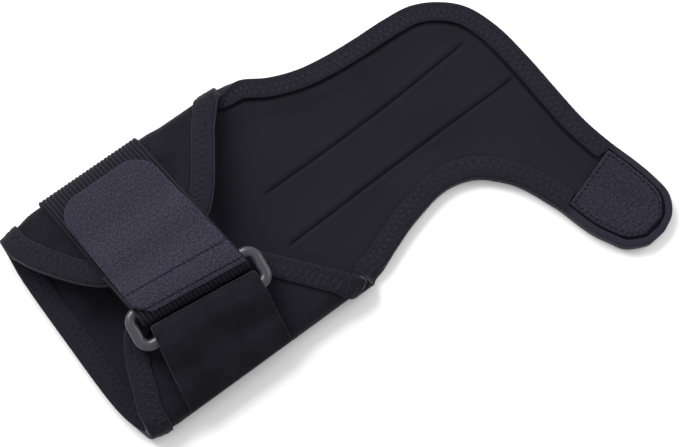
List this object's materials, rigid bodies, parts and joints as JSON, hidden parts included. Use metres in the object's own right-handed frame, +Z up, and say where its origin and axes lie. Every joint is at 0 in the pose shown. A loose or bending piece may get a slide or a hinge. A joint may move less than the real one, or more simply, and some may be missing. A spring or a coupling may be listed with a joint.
{
  "type": "thumb spica splint",
  "caption": "Dark fabric thumb spica wrap lying flat, lining up: two flaps folded into a wrist cuff, elastic strap through a ring, hook tab, curved thumb tongue with a hook patch",
  "frame": {"origin": "bottom centre of the whole part's bounding box, on the surface it lies on", "axes": "+X along the wrist from the cuff's open wrist end to the thumb end, +Y across the cuff towards the fold the strap runs over, +Z up, away from the surface"},
  "size_m": [0.2154, 0.1498, 0.0269],
  "materials": {
    "wrap_cloth": "matt laminated wrap cloth, smooth lining and brushed outer face",
    "edge_tape": "matt knitted binding tape with zigzag stitching",
    "strap_elastic": "ribbed woven elastic",
    "tab_hook_cloth": "matt woven hook tab",
    "ring_plastic": "smooth satin plastic rod",
    "loop_cloth": "matt brushed cloth",
    "patch_hook_cloth": "matt textured hook patch"
  },
  "bodies": {
    "root": {"wrap_panel": "wrap_cloth", "thumb_binding": "edge_tape", "cuff_binding": "edge_tape", "elastic_strap": "strap_elastic", "hook_tab": "tab_hook_cloth", "ring": "ring_plastic", "ring_loop": "loop_cloth", "thumb_hook_patch": "patch_hook_cloth"}
  },
  "joints": []
}
